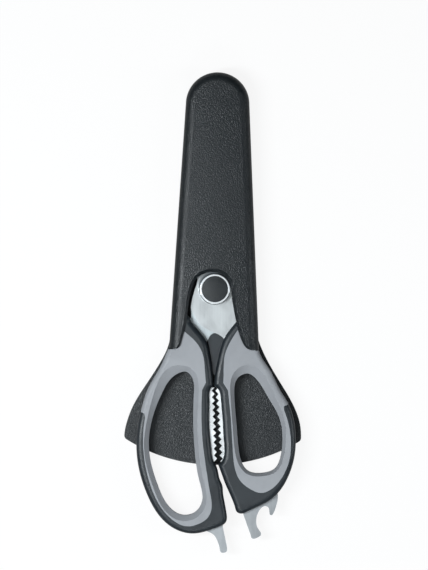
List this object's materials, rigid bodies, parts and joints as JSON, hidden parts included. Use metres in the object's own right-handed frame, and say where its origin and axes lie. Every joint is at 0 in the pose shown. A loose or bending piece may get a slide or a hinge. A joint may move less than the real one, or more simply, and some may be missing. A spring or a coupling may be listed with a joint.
{
  "type": "kitchen shears",
  "caption": "Kitchen shears stored blades-first in a slim black holder with a flared guard; two-tone loop handles, toothed nut jaws, screwdriver prong and opener hook.",
  "frame": {"origin": "on the flat back face of the holder, under the shears' pivot axis", "axes": "+Y along the blades towards the holder's closed end, +Z from the back face to the front, +X to the right seen from the front"},
  "size_m": [0.0958, 0.2592, 0.017],
  "materials": {
    "holder_plastic": "fine leather-like texture, satin",
    "handle_plastic": "smooth satin",
    "grip_rubber": "soft matt",
    "blade_steel": "brushed along the blade",
    "jaw_steel": "bright, fine ground",
    "tool_steel": "dull blasted",
    "pivot_steel": "polished",
    "cap_plastic": "satin, bare",
    "washer_steel": "plain",
    "magnet_metal": "nickel plated",
    "strip_plastic": "plain film",
    "screw_steel": "blackened"
  },
  "bodies": {
    "sheath": {"sheath_front_cover": "holder_plastic", "sheath_back_plate": "holder_plastic", "sheath_screws": "screw_steel", "holder_magnets": "magnet_metal", "magnet_cover": "strip_plastic"},
    "pivot": {"pivot_bolt": "washer_steel", "pivot_thrust_washer": "washer_steel", "pivot_spring_washer": "washer_steel", "pivot_bezel": "pivot_steel", "pivot_cap": "cap_plastic"},
    "left_half": {"left_blade": "blade_steel", "left_handle_core": "handle_plastic", "left_handle_grip": "grip_rubber", "left_nutcracker_jaw": "jaw_steel", "left_screwdriver_tip": "tool_steel"},
    "right_half": {"right_blade": "blade_steel", "right_handle_core": "handle_plastic", "right_handle_grip": "grip_rubber", "right_nutcracker_jaw": "jaw_steel", "right_opener_tool": "tool_steel"}
  },
  "joints": [
    {"name": "draw_out", "type": "slide", "parent": "sheath", "child": "pivot", "axis": [0, -1, 0], "range_m": [0, 0.27]},
    {"name": "left_open", "type": "hinge", "parent": "pivot", "child": "left_half", "pos_m": [0, 0, 0.008], "axis": [0, 0, 1], "range_deg": [-22, 0]},
    {"name": "right_open", "type": "hinge", "parent": "pivot", "child": "right_half", "pos_m": [0, 0, 0.008], "axis": [0, 0, 1], "range_deg": [0, 22]}
  ],
  "couplings": [
    {"joint": "left_open", "follows": "draw_out", "rad_per_m": -1.4},
    {"joint": "right_open", "follows": "draw_out", "rad_per_m": 1.4}
  ]
}
